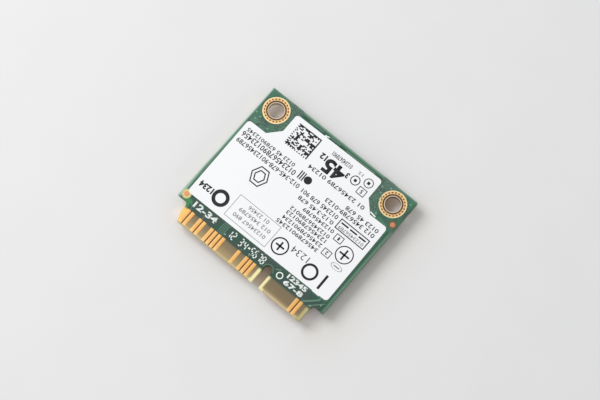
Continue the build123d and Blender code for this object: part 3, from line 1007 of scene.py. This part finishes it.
def label_side_vias(layer):
    """The mask's small domes over filled holes."""
    layer.domes([
        (-13.9, 20.9), (-13.4, 21.6), (-9.0, 22.1), (-8.6, 23.0), (-14.4, 21.9), (-10.0, 20.9),
        (-11.2, 20.8), (-8.7, 24.6), (-8.4, 25.6), (8.9, 21.6), (9.4, 24.3), (10.3, 25.9),
        (9.0, 25.2), (13.6, 20.4), (14.3, 25.8), (11.0, 21.2), (12.7, 3.0), (13.94, 4.16),
        (-11.3, 5.1), (-5.0, 3.2), (1.9, 5.0), (5.0, 5.1), (-2.1, 5.2), (-12.9, 4.9),
    ])


def via_fills(layer):
    """The dark resin in the ring of small holes round each screw hole."""
    for side in (-1, 1):
        centre = (side * HOLE_X, HOLE_Y - EDGE_Y)
        layer.plate(8, (0.28, 0.28), (centre[0] + VIA_CIRCLE, centre[1]))
        pick(layer.solids[-1])
        edit_all()
        bpy.ops.mesh.spin(
            steps=VIA_COUNT - 1,
            dupli=True,
            angle=2 * math.pi * (VIA_COUNT - 1) / VIA_COUNT,
            center=layer.place(*centre),
            axis=(0, 0, 1),
        )
        end_edit()


def label_side_traces(layer):
    """Traces that show under the mask."""
    fine = bpy.context.scene.card_sizes.trace_width

    # Along the contact edge and round the key notch
    for k in range(4):
        x = -6.25 + 0.32 * k
        layer.stroke([(x, 2.75), (x, 4.2), (x + 0.25, 4.9)], fine)
    layer.arc((KEY_X, 3.15), 0.90, 0.12, 180.0, 180.0, 24)
    for points, width in (
        ([(4.75, 4.05), (5.6, 4.5)], 0.2),
        ([(11.2, 2.75), (12.0, 3.45), (13.2, 4.6), (13.2, 5.4)], 0.30),
        ([(12.3, 2.75), (12.9, 3.3), (14.3, 4.7)], 0.16),
        ([(-11.9, 2.75), (-11.9, 3.2), (-12.6, 3.9)], fine),
        ([(-9.4, 2.75), (-9.4, 3.3)], fine),
        ([(0.1, 2.75), (0.1, 3.2), (0.9, 4.0), (0.9, 5.0)], fine),
        ([(-1.4, 2.75), (-1.4, 3.05)], fine),
    ):
        layer.stroke(points, width)

    # Beside the screw holes
    for k in range(4):
        shift = 0.30 * k
        left, right = -14.3 + shift, 8.75 + shift
        layer.stroke([(left, 20.2), (left + 0.7, 21.0), (left + 1.4, 21.2)], fine)
        layer.stroke([(right, 23.2 + shift), (right + 0.75, 22.45 + shift)], fine)
        layer.stroke([(8.65, 22.3 - shift), (9.6, 21.35 - shift * 1.4)], fine)
    layer.stroke([(-9.0, 21.1), (-9.5, 21.6), (-9.5, 22.6)], fine)
    layer.stroke([(12.0, 21.0), (13.2, 20.6), (13.5, 20.3)], fine)

    # In the strips beside and behind the label
    for points, width in (
        ([(14.78, 6.0), (14.78, 19.5)], 0.2),
        ([(-14.55, 6.2), (-14.55, 19.6)], 0.16),
        ([(-6.8, 26.14), (-3.9, 26.14)], 0.16),
        ([(-2.6, 26.18), (-0.5, 26.18)], 0.2),
        ([(0.8, 26.08), (6.8, 26.08)], 0.2),
    ):
        layer.stroke(points, width)


# Hidden side, drawn as it is seen from below, so across runs the other way


def hidden_legend(layer):
    """White corners round the sockets and plain figures beside them and the small parts."""
    for side, figure in ((-1, "1"), (1, "2")):
        x = SOCKET_X * side
        for end in (-1, 1):
            outer, inner = x + 1.95 * end, x + 1.2 * end
            for y, turn_y in ((22.3, 22.0), (26.3, 26.55)):
                layer.stroke([(outer, y), (outer, turn_y), (inner, turn_y)], 0.12)
        x = 9.45 * side
        layer.words(figure, x - 0.2, x + 0.2, 25.6, 26.3, 0.0, 0.02, 3)
    layer.words("01", 12.2, 13.4, 4.0, 4.8, 0.0, 0.02, 3)
    layer.words("02", -13.4, -12.2, 4.0, 4.8, 0.0, 0.02, 3)
    layer.block(-4.6, -3.9, 4.9, 5.02)


def bare_ends():
    """The boxes of the small parts' soldered ends that stand outside the shield."""
    ends = solid_boxes("capacitor_ends") + solid_boxes("resistor_ends")
    return [(low, high) for low, high in ends if high[1] < EDGE_Y + 6.0]


def hidden_pads(layer):
    """Tinned pads that show round the ends of the small parts."""
    for low, high in bare_ends():
        size = (high[0] - low[0] + 0.16, high[1] - low[1] + 0.2)
        layer.plate(4, size, (-(low[0] + high[0]) / 2, (low[1] + high[1]) / 2 - EDGE_Y))


def hidden_traces(layer):
    """Traces from the contacts back to the shield, where no part and no notch is in the way."""
    width = bpy.context.scene.card_sizes.trace_width
    taken = [(-high[0] - 0.25, 0.25 - low[0]) for low, high in bare_ends()]
    for low, high in COMPONENT_SIDE_CONTACTS:
        x = -(low[0] + high[0]) / 2
        lean = 0.3 if int(abs(x) * 10) % 3 else -0.3
        in_the_way = any(start < x < end or start < x + lean < end for start, end in taken)
        if in_the_way or abs(x + KEY_X) < 1.3:
            continue
        layer.stroke([(x, 2.75), (x, 3.5), (x + lean, 3.9), (x + lean, 5.7)], width)


def shield_solder(layer):
    """The solder line along the foot of the shield."""
    low, high = node_box("shield_frame")
    out = 0.12
    front = low.y - EDGE_Y - out
    back = high.y - EDGE_Y + out
    step = CAN_SHOULDER_Y - EDGE_Y + out
    side = high.x + out
    neck = CAN_NECK_X + out
    corners = [
        (-side, front), (side, front), (side, step), (neck, step),
        (neck, back), (-neck, back), (-neck, step), (-side, step),
    ]
    layer.stroke(corners, 0.22, closed=True)


def hidden_vias(layer):
    """The mask's small domes on the hidden side."""
    places = [(side * 14.35, 6.4 + 1.15 * k) for side in (-1, 1) for k in range(12)]
    places += [(side * (9.9 + 0.9 * k), 20.9) for side in (-1, 1) for k in range(3)]
    places += [(side * 5.95, 21.2 + 1.1 * k) for side in (-1, 1) for k in range(5)]
    places += [(-2.5 + 1.0 * k, 4.6) for k in range(3)] + [(6.2 + 0.9 * k, 5.0) for k in range(2)]
    layer.domes(places)


# Operators


class CARD_OT_stage(bpy.types.Operator):
    """Lays the ground, sets the soft light and places the camera"""

    bl_idname = "card.stage"
    bl_label = "Stage"

    def execute(self, context):
        scene = context.scene
        clear_selection()
        bpy.ops.mesh.primitive_plane_add(
            size=scene.card_sizes.floor_size, location=(0, 0, -FLOOR_DROP * MM)
        )
        floor = context.object
        bpy.ops.object.transform_apply(location=True)
        floor.name = "floor"
        floor.data.materials.append(floor_finish())
        bpy.ops.object.light_add(type="AREA", location=WINDOW_PLACE)
        lamp = context.object
        lamp.name = "window"
        lamp.data.energy = WINDOW_POWER
        lamp.data.size = WINDOW_SIZE
        lamp.rotation_euler = (0.0, math.radians(WINDOW_LEAN), 0.0)
        world = bpy.data.worlds.new("room")
        world.use_nodes = True
        room = world.node_tree.nodes["Background"]
        room.inputs["Color"].default_value = ROOM_COLOUR
        room.inputs["Strength"].default_value = ROOM_STRENGTH
        scene.world = world
        scene.view_settings.view_transform = "Standard"
        turn = [math.radians(angle) for angle in CAMERA_TURN]
        bpy.ops.object.camera_add(location=CAMERA_PLACE, rotation=turn)
        camera = context.object
        camera.data.lens = CAMERA_LENS
        camera.data.sensor_width = CAMERA_SENSOR
        camera.data.clip_start = 0.01
        scene.camera = camera
        return {"FINISHED"}


class CARD_OT_finishes(bpy.types.Operator):
    """Gives every part of the card its finish"""

    bl_idname = "card.finishes"
    bl_label = "Finishes"

    def execute(self, context):
        gold = gold_finish()
        land = land_finish()
        steel = tinned_steel_finish()
        solder = solder_finish()
        crystal = solder_finish("crystal_metal", (0.60, 0.56, 0.46))
        epoxy = moulded_finish("chip_black", (0.012, 0.012, 0.013), (0.030, 0.030, 0.032))
        ferrite = moulded_finish("inductor_grey", (0.035, 0.035, 0.038), (0.08, 0.08, 0.085), 0.7)
        ceramic = moulded_finish("filter_ceramic", (0.55, 0.55, 0.50), (0.72, 0.72, 0.68), 0.45)
        brown = moulded_finish("capacitor_ceramic", (0.20, 0.12, 0.06), (0.34, 0.22, 0.12), 0.4)
        ivory = moulded_finish("socket_plastic", (0.62, 0.58, 0.48), (0.74, 0.71, 0.62), 0.45)
        finishes = {
            "board": laminate_finish(),
            "label_side_mask": mask_finish("label_side_mask"),
            "component_side_mask": mask_finish("component_side_mask"),
            "label_side_contacts": gold,
            "component_side_contacts": gold,
            "alignment_dots": copper_finish(),
            "label": paper_finish(),
            "shield_frame": steel,
            "shield_lid": steel,
            "radio_chip": epoxy,
            "regulator_chip": epoxy,
            "memory_chip": epoxy,
            "crystal": crystal,
            "power_inductor": ferrite,
            "capacitor_bodies": brown,
            "capacitor_ends": solder,
            "resistor_bodies": epoxy,
            "resistor_ends": solder,
        }
        for side in ("left", "right"):
            finishes[side + "_screw_land"] = land
            finishes[side + "_socket_shell"] = gold
            finishes[side + "_socket_pin"] = gold
            finishes[side + "_socket_base"] = ivory
            finishes[side + "_filter"] = ceramic
            finishes[side + "_amplifier"] = epoxy
        missing = set(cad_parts) - set(finishes)
        if missing:
            raise RuntimeError(f"no finish for {sorted(missing)}")
        for name, material in finishes.items():
            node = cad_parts[name]
            node.data.materials.clear()
            node.data.materials.append(material)
        return {"FINISHED"}


class CARD_OT_label_print(bpy.types.Operator):
    """Prints the label with plain figures, marks and a code block"""

    bl_idname = "card.label_print"
    bl_label = "Label print"

    def execute(self, context):
        height = context.scene.card_sizes.ink_height
        ink_colour = tuple(context.scene.card_colours.ink)
        ink = ink_finish("label_ink", ink_colour, (0.05, 0.05, 0.055))
        soft_ink = ink_finish("label_soft_ink", (0.025, 0.025, 0.03), (0.09, 0.09, 0.095))
        pale_ink = ink_finish("label_pale_ink", (0.22, 0.22, 0.23), (0.42, 0.42, 0.43))
        for draw, material in (
            (label_figures, soft_ink),
            (label_bold_figures, ink),
            (label_marks, ink),
            (label_pale_print, pale_ink),
            (label_code_block, ink),
        ):
            make_piece(draw, LABEL_TOP, height, material)
        return {"FINISHED"}


class CARD_OT_board_print(bpy.types.Operator):
    """Adds the white legend and the traces that show under the mask"""

    bl_idname = "card.board_print"
    bl_label = "Legend and traces"

    def execute(self, context):
        sizes = context.scene.card_sizes
        trace = sizes.trace_height
        white = ink_finish("legend_white", (0.93, 0.96, 0.92), (0.78, 0.86, 0.80))
        over_copper = moulded_finish(
            "mask_over_trace", (0.09, 0.20, 0.135), (0.13, 0.26, 0.18), 0.4, 0.3
        )
        pale_mask = moulded_finish(
            "mask_over_via", (0.13, 0.30, 0.21), (0.24, 0.42, 0.31), 0.35, 0.1
        )
        dark = ink_finish("bare_patch", (0.012, 0.020, 0.018), (0.03, 0.05, 0.04))
        resin = moulded_finish("via_resin", (0.10, 0.025, 0.008), (0.20, 0.06, 0.02), 0.6, 0.06)
        for draw, height, material in (
            (board_legend, sizes.legend_height, white),
            (label_side_traces, trace, over_copper),
            (label_side_vias, 3 * trace, pale_mask),
            (bare_patches, trace, dark),
        ):
            make_piece(draw, MASK_TOP, height, material)
        make_piece(via_fills, LAND_HIGH.z, 0.008, resin)
        return {"FINISHED"}


class CARD_OT_hidden_side(bpy.types.Operator):
    """Adds the legend, traces, vias and solder of the component side"""

    bl_idname = "card.hidden_side"
    bl_label = "Component side"

    def execute(self, context):
        sizes = context.scene.card_sizes
        trace = sizes.trace_height
        made = bpy.data.materials
        solder = solder_finish("hidden_solder")
        for draw, height, material, slot in (
            (hidden_legend, sizes.legend_height, made["legend_white"], "green_mask"),
            (hidden_traces, trace, made["mask_over_trace"], "green_mask"),
            (hidden_vias, 2 * trace, made["mask_over_via"], "green_mask"),
            (hidden_pads, 0.03, solder, "solder_tin"),
            (shield_solder, 0.08, solder, "solder_tin"),
        ):
            make_piece(draw, -BACK_MASK_FACE, height, material, True)
        return {"FINISHED"}


class CARD_PT_panel(bpy.types.Panel):
    """Lists the steps that dress the card"""

    bl_idname = "CARD_PT_panel"
    bl_label = "Card"
    bl_space_type = "VIEW_3D"
    bl_region_type = "UI"
    bl_category = "Card"

    def draw(self, context):
        for operator in OPERATORS:
            self.layout.operator(operator.bl_idname)
        for group in (context.scene.card_sizes, context.scene.card_colours):
            for setting in group.__annotations__:
                self.layout.prop(group, setting)


OPERATORS = (
    CARD_OT_stage,
    CARD_OT_finishes,
    CARD_OT_label_print,
    CARD_OT_board_print,
    CARD_OT_hidden_side,
)
CLASSES = (CardSizes, CardColours, *OPERATORS, CARD_PT_panel)


def register():
    for entry in CLASSES:
        bpy.utils.register_class(entry)
    bpy.types.Scene.card_sizes = PointerProperty(type=CardSizes)
    bpy.types.Scene.card_colours = PointerProperty(type=CardColours)


def unregister():
    del bpy.types.Scene.card_colours
    del bpy.types.Scene.card_sizes
    for entry in reversed(CLASSES):
        bpy.utils.unregister_class(entry)


def main():
    register()
    bpy.ops.card.stage()
    bpy.ops.card.finishes()
    bpy.ops.card.label_print()
    bpy.ops.card.board_print()
    bpy.ops.card.hidden_side()


if __name__ == "__main__":
    main()
